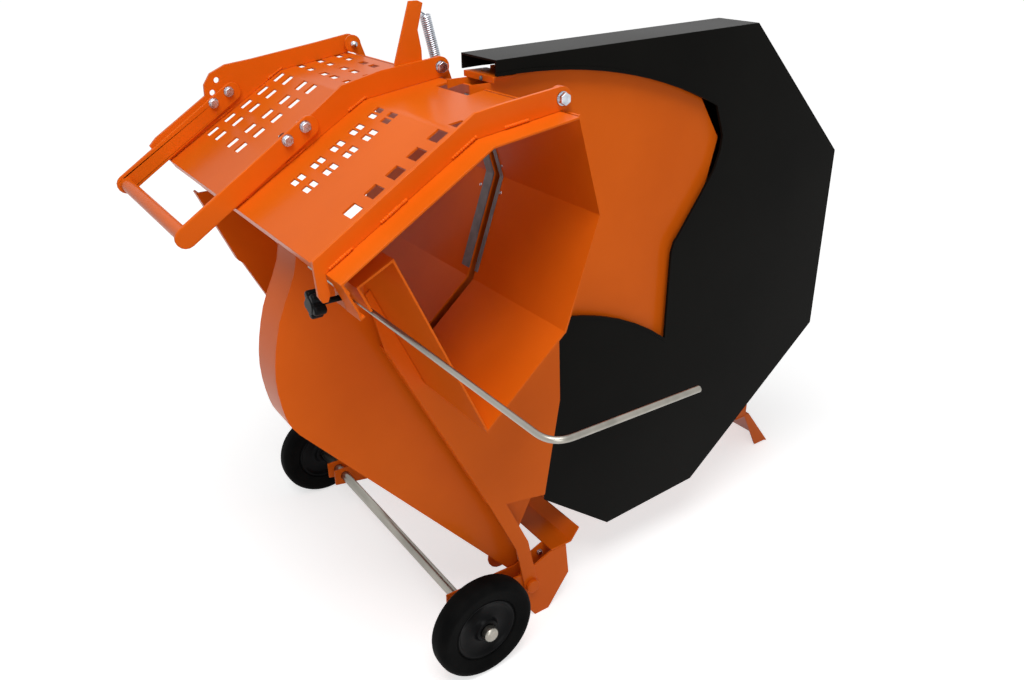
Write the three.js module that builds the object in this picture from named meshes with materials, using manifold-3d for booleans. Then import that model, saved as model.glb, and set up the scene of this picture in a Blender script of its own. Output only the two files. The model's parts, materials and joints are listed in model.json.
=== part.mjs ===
// Firewood circular saw with a swinging log trough, a perforated hood and a fixed octagonal blade guard.
// Millimetres. X runs from the wheels to the rear foot, Y from the operator's side to the drive side, Z is up.
import * as THREE from "three";
import { mergeVertices } from "three/addons/utils/BufferGeometryUtils.js";
import Module from "manifold-3d";

const wasm = await Module();
wasm.setup();

// The blade sets the size of every side outline.
const bladeRadius = 350;
const bladeRadiusShare = 0.35;
const side = bladeRadius / bladeRadiusShare;

// Gaps between pieces.
const seatGap = 0.3;
const runningGap = 1;
const overrun = 6;

// Sheet and plate thicknesses.
const guardSheet = 3;
const pocketSheet = 3;
const troughSheet = 3;
const hoodSheet = 3;
const ribSheet = 6;
const earSheet = 5;
const armSheet = 4;
const footSheet = 4;
const beamSheet = 4;
const stripSheet = 2;

// Stations across the machine, from the operator's side to the drive side.
const guardHalfWidth = 48;
const pocketHalfWidth = 33;
const hoodNearEdge = -270;
const hoodFarEdge = 420;
const troughNearEdge = -255;
const troughFarEdge = 402;
const ribRows = { near: -229, mid: 82, far: 413 };
const nearFootRow = -73;
const nearFootWidth = 35;
const farFootRow = 452;
const farFootWidth = 40;

// Side positions, as shares of the side size.
const pivotShares = [0.144, 0.087];
const hingeShares = [0.084, 1.048];
const arborShares = [0.43, 0.608];
const axleShares = [0, 0.1];
const motorShares = [0.69, 0.297];

// Folded hood: its outer surface from the hinge to the lip.
const hoodLineShares = [[0.081, 1.0315], [-0.052, 1.013], [-0.268, 0.884], [-0.259, 0.869]];
const hoodTongueShares = [[-0.268, 0.884], [-0.25, 0.844], [-0.247, 0.832], [-0.24, 0.836]];
const hoodTongueWidth = 38;
const hoodNotchDepthShare = 0.029;
const hoodNotchGap = 2;
const lipClearance = 16;

// Slots of the hood: length down the slope, width across, first row, pitch, rows, columns.
const slotPitch = 37.5;
const wideSlot = { length: 21, width: 27, start: 14, rows: 5, columns: [-154] };
const smallSlot = { length: 9, width: 23, start: 8, rows: 5, columns: [-20, 22] };
const smallSlotStep = 12.7;
const farSlot = { length: 22, width: 18, start: 15, rows: 5, columns: [254, 294, 355, 394] };
const topSlot = { length: 12, width: 25, start: 36, rows: 3, columns: [211, 265, 305, 363, 403] };

// Ribs of the hood, from the ear along the top edge to the foot.
const nearRibShares = [[-0.013, 1.052], [-0.052, 1.046], [-0.283, 0.903], [-0.28, 0.857], [-0.275, 0.848],
  [-0.268, 0.848], [-0.2645, 0.857]];
const midRibShares = [[-0.02, 1.053], [-0.086, 1.038], [-0.262, 0.918], [-0.281, 0.899], [-0.279, 0.888]];
const farRibShares = [[0.02, 1.054], [-0.103, 1.037], [-0.15, 1.032], [-0.178, 1.02], [-0.191, 1.002],
  [-0.192, 0.984], [-0.285, 0.925], [-0.297, 0.913], [-0.285, 0.891]];
const farRibHoleShares = [[-0.168, 1.008], [-0.178, 0.988]];
const farRibHoleRadius = 5;
const earRadius = 15.5;
const hingeBolt = { radius: 5, headRadius: 9, headLength: 6 };

// Handle of the hood.
const handleTopShares = [-0.146, 0.987];
const handleEndShares = [-0.346, 0.857];
const handleWidth = 32;
const handleSheet = 6;
const handleBarRadius = 11;

// Spring post and counterbalance spring.
const postShares = [[-0.002, 1.032], [0.055, 1.032], [0.055, 1.075], [0.05, 1.105], [0.061, 1.143], [0.052, 1.147],
  [0.037, 1.147]];
const postSheet = 4;
const springPinShares = [[0.0525, 1.1385], [0.0975, 1.038]];
const springCoilShares = [[0.0725, 1.124], [0.0885, 1.058]];
const spring = { radius: 7.5, wire: 1.3, coils: 18, pinRadius: 2.2, row: 105, pinEnd: 110, lead: 5 };

// V trough: outer lip, flange, left leg, apex, right leg, crease, top.
const troughLineShares = [[-0.226, 0.833], [-0.242, 0.869], [-0.19, 0.894], [-0.061, 0.605], [0.075, 0.722],
  [0.133, 0.886], [0.091, 1.029]];
const earBodyShares = [[0.0915, 1.028], [0.133, 0.886], [0.153, 0.893]];

// Pocket round the blade: its curved rim, its ledge under the mouth's tab, and its side inside the guard.
const pocketRimShares = [[-0.258, 0.554], [-0.275, 0.587], [-0.283, 0.66], [-0.267, 0.742], [-0.233, 0.822],
  [-0.229, 0.893]];
const pocketLedgeShares = [[-0.056, 0.998], [0.0645, 1.0125], [0.0645, 1.0378], [0.1045, 1.0378], [0.1045, 1.0435],
  [0.144, 1.0435]];
const pocketHighShares = [[0.5496, 0.9615], [0.6, 0.885], [0.497, 0.5], [0.25, 0.4], [0.143, 0.19]];
const pocketRimSteps = 18;
const pocketHubRadius = 29;
const pivotBoltRadius = 8;
const swingDegrees = 29;
const arborSlotHalfWidth = 34;
const arborSlotMargin = 3;

// Arms under the trough.
const armUpperShares = [[-0.127, 0.679], [-0.15, 0.775], [-0.12, 0.8], [0.1, 0.86], [0.15, 0.85], [0.2, 0.69],
  [0.207, 0.48], [0.175, 0.287], [0.088, 0.303], [0.137, 0.195]];
const armLowerShares = [[0.11, 0.187], [0.053, 0.312]];
const farArmUpperShares = [[-0.1755, 0.68], [-0.184, 0.6875], [-0.2395, 0.8255], [-0.16, 0.8255],
  ...armUpperShares.slice(2)];
const farArmLowerShares = [armLowerShares[0], [0, 0.312]];
const armLugRadius = 15;
const armFlange = 18;
const farArmInset = 8;
const pivotHead = { radius: 14, length: 8 };

// Guard: octagon corners from the mouth's top round to the mouth's foot.
const guardShares = [[0.101, 1.072], [0.663, 1.082], [0.937, 0.813], [0.942, 0.42], [0.597, 0.135], [0.359, 0.121],
  [0.198, 0.247]];
const nearCutShares = [[0.595, 0.893], [0.593, 0.865], [0.582, 0.832], [0.551, 0.787], [0.506, 0.725],
  [0.491, 0.706], [0.486, 0.686], [0.485, 0.56]];
const farCutShares = [[0.565, 0.93], [0.531, 0.785], [0.402, 0.669]];
const lipArcEndShare = 0.573;
const nearCutLowEndShare = 0.485;
const farCutLowEndShare = 0.217;
const cutFootRadiusShare = 0.545;
const cutLip = { width: 5, height: 2 };

// Blade and arbor.
const blade = { thickness: 3.2, bore: 15, teeth: 42, toothDepth: 13, tipShare: 0.06, gulletShare: 0.3 };
const bladeFlange = { radius: 60, length: 8, hub: 24 };
const arbor = { radius: 18, nearEnd: -27, nutRadius: 24, nutLength: 13 };
const housing = { flangeRadius: 44, barrelRadius: 39, flange: 8, length: 44, wall: 7 };
const bearing = { length: 15, outer: 31, groove: 3 };
const pulley = { radius: 42, width: 32, groove: 9, grooves: 3 };

// Drive side.
const drivePlateSheet = 6;
const drivePlateShares = [[0.31, 0.1415], [0.76, 0.1415], [0.76, 0.32], [0.56, 0.65], [0.455, 0.668], [0.4, 0.662],
  [0.376, 0.63], [0.31, 0.4]];
const casing = { wall: 2, clearance: 6, depth: 40 };
const beltThickness = 3;
const motor = { radius: 88, length: 230, finDepth: 8, fins: 22, shaftRadius: 14, fanCover: 52 };
const motorStand = { barWidth: 50, barHeight: 30, plate: 6, barShares: [0.37, 0.72] };
const switchBox = { length: 90, depth: 62, height: 100 };
const button = { radius: 11, length: 14, travel: 4, spacing: 44 };
const inlet = { radius: 26, length: 42 };

// Base.
const wheel = { radius: 100, width: 46, hubRadius: 62, boreRadius: 10.4, nearRow: -148, farRow: 557 };
const axle = { radius: 10, capRadius: 15, capLength: 14 };
const footShares = [[-0.024, 0.082], [0.118, 0.058], [0.157, 0], [0.19, 0], [0.24, 0.068], [0.232, 0.1405],
  [0.194, 0.1405], [0.13, 0.116], [-0.024, 0.12]];
const footFloorShares = [[0.157, 0], [0.19, 0], [0.24, 0.068]];
const beamShares = [[0.196, 0.145], [0.243, 0.145], [0.262, 0.17]];
const rail = { width: 40, height: 30, wall: 3, nearRow: 92, farRow: 412, endShare: 0.935 };
const rearFootShares = [[0.9, 0.114], [0.946, 0.114], [1.031, 0]];
const rearCheekShares = { top: [0.93, 0.945], foot: [[1.024, 0.003], [0.985, 0.003]] };

// Log stop rod and its clamp.
const rodShares = [-0.2215, 0.83];
const rodEndShares = [-0.031, 0.827];
const rod = { radius: 3.6, start: -60, corner: -614.4, bend: 26 };
const rodGuide = { near: -203, far: -167, halfWidth: 12 };
const knob = { radius: 19, lobes: 5, length: 18, screwRadius: 4, standOff: 34 };

// Slot strips, mouth tab.
const bladeSlotHalfWidth = 9;
const nearStripWidth = 8;
const farStripWidth = 21;
const stripShares = [0.08, 0.9];
const tab = { startShare: 0.1, endShare: 0.142, topShare: 1.047, drop: 9, edgeGap: 7 };

// Facets.
const wheelFacets = 32;
const roundFacets = 20;
const boltFacets = 12;
const beltSteps = 10;

const toPlane = ([x, z]) => new THREE.Vector2(x * side, z * side);
const pivot = toPlane(pivotShares);
const hinge = toPlane(hingeShares);
const arborPoint = toPlane(arborShares);
const axlePoint = toPlane(axleShares);
const motorPoint = toPlane(motorShares);
const hoodLine = hoodLineShares.map(toPlane);
const troughLine = troughLineShares.map(toPlane);
const guardLine = guardShares.map(toPlane);
const lipRadius = Math.max(...hoodLine.map((p) => p.distanceTo(pivot))) + lipClearance;
const swing = THREE.MathUtils.degToRad(swingDegrees);

// A closed geometry as a solid, with its faces turned out.
function solid(geometry) {
  geometry.deleteAttribute("normal");
  geometry.deleteAttribute("uv");
  const merged = mergeVertices(geometry, 1e-3);
  const index = merged.index.array;
  const positions = merged.attributes.position.array;
  const faces = [];
  let volume = 0;
  const corner = (i) => new THREE.Vector3().fromArray(positions, 3 * i);
  for (let i = 0; i < index.length; i += 3) {
    const [a, b, c] = [index[i], index[i + 1], index[i + 2]];
    if (a === b || b === c || c === a) continue;
    faces.push([a, b, c]);
    volume += corner(a).dot(corner(b).cross(corner(c)));
  }
  const turned = volume < 0 ? faces.map(([a, b, c]) => [a, c, b]) : faces;
  const mesh = new wasm.Mesh({
    numProp: 3,
    vertProperties: new Float32Array(positions),
    triVerts: new Uint32Array(turned.flat()),
  });
  return new wasm.Manifold(mesh);
}

const join = (first, ...others) => others.reduce((sum, next) => sum.add(next), first);
const cut = (first, ...others) => others.reduce((rest, next) => rest.subtract(next), first);

// A plate in the side plane, from the station y, with round or outlined holes.
function plate(points, y, thickness, holes = []) {
  const shape = new THREE.Shape(points);
  for (const hole of holes) shape.holes.push(new THREE.Path(hole));
  const geometry = new THREE.ExtrudeGeometry(shape, { depth: thickness, bevelEnabled: false, curveSegments: 1 });
  geometry.rotateX(Math.PI / 2);
  geometry.translate(0, y + thickness, 0);
  return solid(geometry);
}

// Points on an arc, in degrees, from one angle to the other.
function arc(centre, radius, from, to, steps) {
  return Array.from({ length: steps + 1 }, (_, i) => {
    const angle = THREE.MathUtils.degToRad(from + ((to - from) * i) / steps);
    return new THREE.Vector2(centre.x + radius * Math.cos(angle), centre.y + radius * Math.sin(angle));
  });
}

const circle = (centre, radius, facets = boltFacets) => arc(centre, radius, 0, 360, facets).slice(0, -1);

// The line shifted to its left by a distance, with mitred corners.
function shifted(points, distance) {
  const normal = (a, b) => {
    const d = b.clone().sub(a).normalize();
    return new THREE.Vector2(-d.y, d.x);
  };
  return points.map((p, i) => {
    const before = i > 0 ? normal(points[i - 1], p) : normal(p, points[i + 1]);
    const after = i < points.length - 1 ? normal(p, points[i + 1]) : before;
    const mitre = before.clone().add(after);
    return p.clone().add(mitre.multiplyScalar((2 * distance) / mitre.lengthSq()));
  });
}

// A folded sheet that lies to the left of a line in the side plane.
function folded(points, thickness, y, width) {
  return plate([...points, ...shifted(points, thickness).reverse()], y, width);
}

// A round bar, tube or disc along Y from profile points of radius and station.
function turned(centre, profile, facets = roundFacets) {
  const points = profile.map(([radius, y]) => new THREE.Vector2(radius, y));
  points.push(points[0].clone());
  const geometry = new THREE.LatheGeometry(points, facets);
  geometry.translate(centre.x, 0, centre.y);
  return solid(geometry);
}

const rod3 = (centre, radius, from, to, facets = boltFacets) =>
  turned(centre, [[0, from], [radius, from], [radius, to], [0, to]], facets);

const tube = (centre, inner, outer, from, to, facets = roundFacets) =>
  turned(centre, [[inner, from], [outer, from], [outer, to], [inner, to]], facets);

function box(x0, x1, y0, y1, z0, z1) {
  const geometry = new THREE.BoxGeometry(x1 - x0, y1 - y0, z1 - z0);
  geometry.translate((x0 + x1) / 2, (y0 + y1) / 2, (z0 + z1) / 2);
  return solid(geometry);
}

// A block that lies along a direction in the side plane, centred on a point.
function block(centre, direction, length, height, y, width) {
  const geometry = new THREE.BoxGeometry(length, width, height);
  geometry.rotateY(-Math.atan2(direction.y, direction.x));
  geometry.translate(centre.x, y + width / 2, centre.y);
  return solid(geometry);
}

const paint = (color, roughness, metalness = 0) => new THREE.MeshStandardMaterial({ color, roughness, metalness });
const orange = paint(0xe85a14, 0.32);
const black = paint(0x1b1b1a, 0.42);
const rubber = paint(0x191919, 0.8);
const steel = paint(0xb9b8b2, 0.3, 1);
const zinc = paint(0xc4c8cc, 0.28, 1);
const grey = paint(0x6d7074, 0.45, 0.6);
const plastic = paint(0x20201f, 0.55);
const castGrey = paint(0x5d6468, 0.5, 0.3);
const green = paint(0x2d8a3c, 0.4);
const red = paint(0xc21f18, 0.4);

const saw = new THREE.Group();

function section() {
  const group = new THREE.Group();
  saw.add(group);
  return group;
}

function piece(group, name, material, body) {
  const { vertProperties, triVerts, numProp, numVert } = body.getMesh();
  const positions = new Float32Array(numVert * 3);
  for (let i = 0; i < numVert; i += 1) {
    positions.set(vertProperties.subarray(i * numProp, i * numProp + 3), i * 3);
  }
  const geometry = new THREE.BufferGeometry();
  geometry.setAttribute("position", new THREE.BufferAttribute(positions, 3));
  geometry.setIndex(new THREE.BufferAttribute(triVerts, 1));
  geometry.computeVertexNormals();
  const mesh = new THREE.Mesh(geometry, material);
  mesh.name = name;
  group.add(mesh);
}

// Guard
const lipAngle = THREE.MathUtils.radToDeg(Math.acos((lipArcEndShare * side - pivot.x) / lipRadius));
const onMouth = (z) => {
  const [top, foot] = [guardLine[0], guardLine[guardLine.length - 1]];
  return foot.x + ((z - foot.y) / (top.y - foot.y)) * (top.x - foot.x);
};

// The opening that the trough swings through, from the mouth's top round to the mouth's foot.
function guardOpening(edgeShares, lowEndShare) {
  const startAngle = 90 + THREE.MathUtils.radToDeg(Math.asin((pivot.x - guardLine[0].x) / lipRadius));
  const footRadius = cutFootRadiusShare * side;
  const lowAngle = THREE.MathUtils.radToDeg(Math.acos((lowEndShare * side - pivot.x) / footRadius));
  const lip = arc(pivot, lipRadius, startAngle, lipAngle, 14);
  const foot = arc(pivot, footRadius, lowAngle, 90, 8);
  const mouthEnd = (point) => new THREE.Vector2(onMouth(point.y), point.y);
  return [...lip, ...edgeShares.map(toPlane), ...foot.slice(0, -1), mouthEnd(foot[8])];
}

const guardWall = (opening) => [guardLine[0], ...opening, ...guardLine.slice(1).reverse()];

function buildGuard(group) {
  const far = guardHalfWidth - guardSheet;
  const nearOpening = guardOpening(nearCutShares, nearCutLowEndShare);
  const lip = folded(nearOpening, cutLip.width, -guardHalfWidth - cutLip.height, cutLip.height + guardSheet / 2);
  const nearWall = plate(guardWall(nearOpening), -guardHalfWidth, guardSheet);
  piece(group, "guard_cover", black, join(nearWall, lip));

  const farWall = plate(guardWall(guardOpening(farCutShares, farCutLowEndShare)), far, guardSheet,
    [circle(arborPoint, arbor.radius + overrun, roundFacets)]);
  const rimLine = guardLine.slice(0, -1).reverse();
  const rimStart = -far + seatGap;
  const rim = folded(rimLine, guardSheet, rimStart, guardHalfWidth - rimStart);
  piece(group, "guard_shell", black, join(farWall, rim));
}

// Blade and arbor
function toothedDisc() {
  const root = bladeRadius - blade.toothDepth;
  const step = 360 / blade.teeth;
  const points = [];
  for (let i = 0; i < blade.teeth; i += 1) {
    const spots = [
      [root, blade.gulletShare],
      [root + blade.toothDepth / 3, blade.tipShare],
      [bladeRadius, 0],
      [bladeRadius - blade.toothDepth / 4, -blade.gulletShare / 2],
      [root + blade.toothDepth / 3, -blade.gulletShare - blade.tipShare],
      [root, blade.gulletShare - 1 + blade.tipShare],
    ];
    for (const [radius, share] of spots) {
      const angle = THREE.MathUtils.degToRad(-(i - share) * step);
      points.push(new THREE.Vector2(radius * Math.cos(angle), radius * Math.sin(angle)).add(arborPoint));
    }
  }
  return points;
}

const flangeStart = blade.thickness / 2 + seatGap;
const drivePlateStart = guardHalfWidth + seatGap;
const housingStart = drivePlateStart + drivePlateSheet + seatGap;
const housingEnd = housingStart + housing.length;
const casingStart = housingEnd + seatGap;
const pulleyStart = casingStart + casing.wall + runningGap;
const pulleyEnd = pulleyStart + pulley.width;
const casingEnd = casingStart + casing.depth;
const railTop = beamShares[0][1] * side - beamSheet - seatGap;
const standFloor = railTop + seatGap;

function buildBlade(group) {
  const bore = circle(arborPoint, blade.bore + seatGap, roundFacets);
  piece(group, "saw_blade", steel, plate(toothedDisc(), -blade.thickness / 2, blade.thickness, [bore]));
  const flange = (from, to) => {
    const hub = Math.sign(to) * bladeFlange.length / 2;
    return turned(arborPoint, [[blade.bore + seatGap, from], [bladeFlange.radius, from],
      [bladeFlange.radius, from + hub], [bladeFlange.hub, to], [blade.bore + seatGap, to]]);
  };
  const flangeEnd = flangeStart + bladeFlange.length;
  piece(group, "blade_flange_outer", zinc, flange(-flangeStart, -flangeEnd));
  piece(group, "blade_flange_inner", zinc, flange(flangeStart, flangeEnd));
  const shoulder = flangeEnd + seatGap;
  piece(group, "arbor_shaft", steel, turned(arborPoint, [[0, arbor.nearEnd], [blade.bore, arbor.nearEnd],
    [blade.bore, shoulder], [arbor.radius, shoulder], [arbor.radius, pulleyEnd], [0, pulleyEnd]]));
  const nutEnd = -flangeEnd - seatGap;
  const nut = plate(circle(arborPoint, arbor.nutRadius, 6), nutEnd - arbor.nutLength, arbor.nutLength,
    [circle(arborPoint, blade.bore + seatGap, roundFacets)]);
  piece(group, "arbor_nut", zinc, nut);
}

// A belt pulley from its first station, with its V grooves.
function grooved(centre, bore) {
  const pitch = pulley.width / pulley.grooves;
  const profile = [[bore, pulleyStart], [pulley.radius, pulleyStart]];
  for (let i = 0; i < pulley.grooves; i += 1) {
    const start = pulleyStart + i * pitch;
    profile.push([pulley.radius, start + pitch / 6]);
    profile.push([pulley.radius - pulley.groove, start + pitch / 3]);
    profile.push([pulley.radius - pulley.groove, start + (2 * pitch) / 3]);
    profile.push([pulley.radius, start + (5 * pitch) / 6]);
  }
  profile.push([pulley.radius, pulleyEnd], [bore, pulleyEnd]);
  return turned(centre, profile);
}

// An outline round both belt pulleys at a distance from their centres.
function beltOutline(radius) {
  const along = THREE.MathUtils.radToDeg(Math.atan2(motorPoint.y - arborPoint.y, motorPoint.x - arborPoint.x));
  return [...arc(motorPoint, radius, along - 90, along + 90, beltSteps),
    ...arc(arborPoint, radius, along + 90, along + 270, beltSteps)];
}

// A block bearing: one ring with a groove on each face between its races.
function ballBearing(y) {
  const inner = arbor.radius + seatGap;
  const middle = (inner + bearing.outer) / 2;
  const end = y + bearing.length;
  return turned(arborPoint, [[inner, y], [middle - bearing.groove, y], [middle, y + bearing.groove],
    [middle + bearing.groove, y], [bearing.outer, y], [bearing.outer, end], [middle + bearing.groove, end],
    [middle, end - bearing.groove], [middle - bearing.groove, end], [inner, end]]);
}

function buildDrive(group) {
  const shaftHole = arbor.radius + runningGap;
  const drivePlate = plate(drivePlateShares.map(toPlane), drivePlateStart, drivePlateSheet,
    [circle(arborPoint, shaftHole, roundFacets)]);
  piece(group, "drive_plate", orange, drivePlate);

  const seat = bearing.outer + seatGap;
  const firstBearing = housingStart + housing.wall;
  const shoulder = firstBearing + bearing.length + seatGap;
  piece(group, "bearing_housing", castGrey, turned(arborPoint, [[shaftHole, housingStart],
    [housing.flangeRadius, housingStart], [housing.flangeRadius, housingStart + housing.flange],
    [housing.barrelRadius, housingStart + housing.flange], [housing.barrelRadius, housingEnd], [seat, housingEnd],
    [seat, firstBearing], [shaftHole, firstBearing]]));
  piece(group, "bearing_near", steel, ballBearing(firstBearing + seatGap));
  piece(group, "bearing_far", steel, ballBearing(shoulder + seatGap));
  piece(group, "arbor_pulley", castGrey, grooved(arborPoint, arbor.radius + seatGap));
  piece(group, "motor_pulley", castGrey, grooved(motorPoint, motor.shaftRadius + seatGap));

  const beltRadius = (pulley.radius + seatGap) / Math.cos(Math.PI / 2 / beltSteps);
  const belt = plate(beltOutline(beltRadius + beltThickness), pulleyStart + casing.wall,
    pulley.width - 2 * casing.wall, [beltOutline(beltRadius).reverse()]);
  piece(group, "drive_belt", rubber, belt);

  const outer = pulley.radius + casing.clearance + casing.wall;
  const back = plate(beltOutline(outer), casingStart, casing.wall, [circle(arborPoint, shaftHole, roundFacets)]);
  piece(group, "casing_plate", orange, back);
  const wallStart = casingStart + casing.wall + seatGap;
  const shell = plate(beltOutline(outer), wallStart, casingEnd - wallStart);
  const hollow = plate(beltOutline(outer - casing.wall), wallStart - overrun, casingEnd - casing.wall - wallStart + overrun);
  const motorHole = rod3(motorPoint, motor.shaftRadius + runningGap, casingEnd - overrun, casingEnd + overrun, roundFacets);
  piece(group, "belt_casing", orange, cut(shell, hollow, motorHole));
}

// Motor
const motorStart = casingEnd + seatGap;
const motorEnd = motorStart + motor.length;
const standTop = standFloor + motorStand.barHeight;

function buildMotor(group) {
  const fins = [];
  for (let i = 0; i < motor.fins; i += 1) {
    const step = 360 / motor.fins;
    const shift = (radius, share) => arc(motorPoint, radius, (i + share) * step, (i + share) * step, 1)[0];
    fins.push(shift(motor.radius, 0), shift(motor.radius, 0.4));
    fins.push(shift(motor.radius - motor.finDepth, 0.5), shift(motor.radius - motor.finDepth, 0.9));
  }
  const endRing = motor.finDepth * 2;
  const barrel = plate(fins, motorStart + endRing, motor.length - 2 * endRing);
  const bell = (from) => rod3(motorPoint, motor.radius, from, from + endRing, roundFacets * 2);
  const footTop = motorPoint.y - motor.radius / 2;
  const foot = (from) => box(motorPoint.x - motor.radius, motorPoint.x + motor.radius, from, from + endRing * 2,
    standTop + seatGap, footTop);
  const bore = motor.shaftRadius + runningGap;
  const body = cut(
    join(barrel, bell(motorStart), bell(motorEnd - endRing), foot(motorStart + endRing), foot(motorEnd - 4 * endRing)),
    rod3(motorPoint, bore, motorStart - overrun, motorEnd + overrun, roundFacets),
  );
  piece(group, "motor_body", castGrey, body);

  const coverStart = motorEnd + seatGap;
  const coverEnd = coverStart + motor.fanCover;
  const wall = casing.wall;
  const cover = cut(
    rod3(motorPoint, motor.radius, coverStart, coverEnd, roundFacets * 2),
    rod3(motorPoint, motor.radius - wall, coverStart - overrun, coverEnd - wall, roundFacets * 2),
    ...[0.25, 0.45, 0.65].flatMap((share) => [-1, 1].map((sign) => box(
      motorPoint.x - motor.radius * (1 - share), motorPoint.x + motor.radius * (1 - share),
      coverEnd - wall - overrun, coverEnd + overrun,
      motorPoint.y + sign * motor.radius * share - wall, motorPoint.y + sign * motor.radius * share + wall,
    ))),
  );
  piece(group, "motor_fan_cover", plastic, cover);

  const fanStart = coverStart + motor.fanCover / 4;
  const fanEnd = coverEnd - motor.fanCover / 4;
  const fanHub = tube(motorPoint, motor.shaftRadius + seatGap, motor.shaftRadius * 2, fanStart, fanEnd);
  const blades = [0, 60, 120].map((angle) => {
    const reach = new THREE.Vector2(Math.cos(THREE.MathUtils.degToRad(angle)), Math.sin(THREE.MathUtils.degToRad(angle)));
    return block(motorPoint, reach, 2 * (motor.radius - motor.finDepth), casing.wall, fanStart, fanEnd - fanStart);
  });
  const fanBore = rod3(motorPoint, motor.shaftRadius + seatGap, fanStart - overrun, fanEnd + overrun, roundFacets);
  piece(group, "motor_fan", plastic, cut(join(fanHub, ...blades), fanBore));
  piece(group, "motor_shaft", steel, rod3(motorPoint, motor.shaftRadius, pulleyStart, fanEnd, roundFacets));
}

// Switch box on the motor, with its inlet and two buttons
const boxStart = motorStart + motor.length / 3;
const boxTop = motorPoint.y + motor.radius + seatGap + switchBox.height;
const buttonRow = (sign) => boxStart + switchBox.length / 2 + (sign * button.spacing) / 2;

function buildSwitch(group) {
  const floor = motorPoint.y + motor.radius + seatGap;
  const [x0, x1] = [motorPoint.x - switchBox.depth / 2, motorPoint.x + switchBox.depth / 2];
  const middle = (floor + boxTop) / 2;
  const post = box(x0, x1, boxStart, boxStart + switchBox.length, floor, boxTop);
  const seat = (sign) => {
    const hole = new THREE.CylinderGeometry(button.radius + runningGap, button.radius + runningGap, button.length * 2,
      roundFacets);
    hole.rotateZ(Math.PI / 2);
    hole.translate(x1, buttonRow(sign), middle);
    return solid(hole);
  };
  piece(group, "switch_box", plastic, cut(post, seat(-1), seat(1)));
  const names = [["start_button", green, -1], ["stop_button", red, 1]];
  for (const [name, material, sign] of names) {
    const start = x1 - button.length + button.travel + seatGap;
    const cap = new THREE.CylinderGeometry(button.radius, button.radius, button.length, roundFacets);
    cap.rotateZ(Math.PI / 2);
    cap.translate(start + button.length / 2, buttonRow(sign), middle);
    piece(group, name, material, solid(cap));
  }
  const inletStart = boxStart + switchBox.length + seatGap;
  const inletCentre = new THREE.Vector2(motorPoint.x, middle);
  piece(group, "power_inlet", plastic, turned(inletCentre, [[0, inletStart], [inlet.radius, inletStart],
    [inlet.radius, inletStart + inlet.length], [inlet.radius * 0.8, inletStart + inlet.length],
    [inlet.radius * 0.8, inletStart + inlet.length / 3], [0, inletStart + inlet.length / 3]]));
}

// Base: feet, beams, rails and rear foot
function footBracket(y, width) {
  const outline = footShares.map(toPlane);
  const holes = [circle(pivot, pivotBoltRadius + seatGap), circle(axlePoint, axle.radius + seatGap, roundFacets)];
  const walls = [y, y + width - footSheet].map((row) => plate(outline, row, footSheet, holes));
  const floor = folded(footFloorShares.map(toPlane), footSheet, y, width);
  return join(...walls, floor);
}

function buildBase(group) {
  piece(group, "near_foot_bracket", orange, footBracket(nearFootRow, nearFootWidth));
  piece(group, "far_foot_bracket", orange, footBracket(farFootRow, farFootWidth));
  const beamEnd = farFootRow + farFootWidth;
  piece(group, "front_cross_beam", orange,
    folded(beamShares.map(toPlane).reverse(), beamSheet, nearFootRow, beamEnd - nearFootRow));
  const railStart = beamShares[0][0] * side;
  for (const [name, row] of [["near_side_rail", rail.nearRow], ["far_side_rail", rail.farRow]]) {
    const outer = box(railStart, rail.endShare * side, row, row + rail.width, railTop - rail.height, railTop);
    const inner = box(railStart - overrun, rail.endShare * side + overrun, row + rail.wall,
      row + rail.width - rail.wall, railTop - rail.height + rail.wall, railTop - rail.wall);
    piece(group, name, orange, cut(outer, inner));
  }
}

function buildRearFoot(group) {
  const width = rail.farRow + rail.width - rail.nearRow;
  const railFloor = railTop - rail.height - seatGap;
  const line = rearFootShares.map(toPlane);
  line[0].y = railFloor;
  line[1].y = railFloor;
  const sheet = folded([...line].reverse(), footSheet, rail.nearRow, width);
  const cheekTop = rearCheekShares.top.map((x) => new THREE.Vector2(x * side, railFloor - footSheet / 8));
  const cheek = (row) => plate([...cheekTop, ...rearCheekShares.foot.map(toPlane)], row, footSheet);
  const body = join(sheet, cheek(rail.nearRow), cheek(rail.nearRow + width - footSheet));
  const ground = box(line[1].x, line[2].x + overrun, rail.nearRow - overrun, rail.nearRow + width + overrun,
    -overrun, 0);
  piece(group, "rear_foot", orange, cut(body, ground));
}

function buildStand(group) {
  const barStart = drivePlateStart + drivePlateSheet + seatGap;
  const bars = motorStand.barShares.map((share) => {
    const start = share * side - motorStand.barWidth / 2;
    return box(start, start + motorStand.barWidth, barStart, rail.farRow + rail.width, standFloor, standTop);
  });
  const [first, last] = motorStand.barShares;
  const top = box(first * side, last * side + motorStand.barWidth / 2, motorStart, motorEnd,
    standTop - motorStand.plate, standTop);
  piece(group, "motor_stand", orange, join(...bars, top));
}

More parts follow.
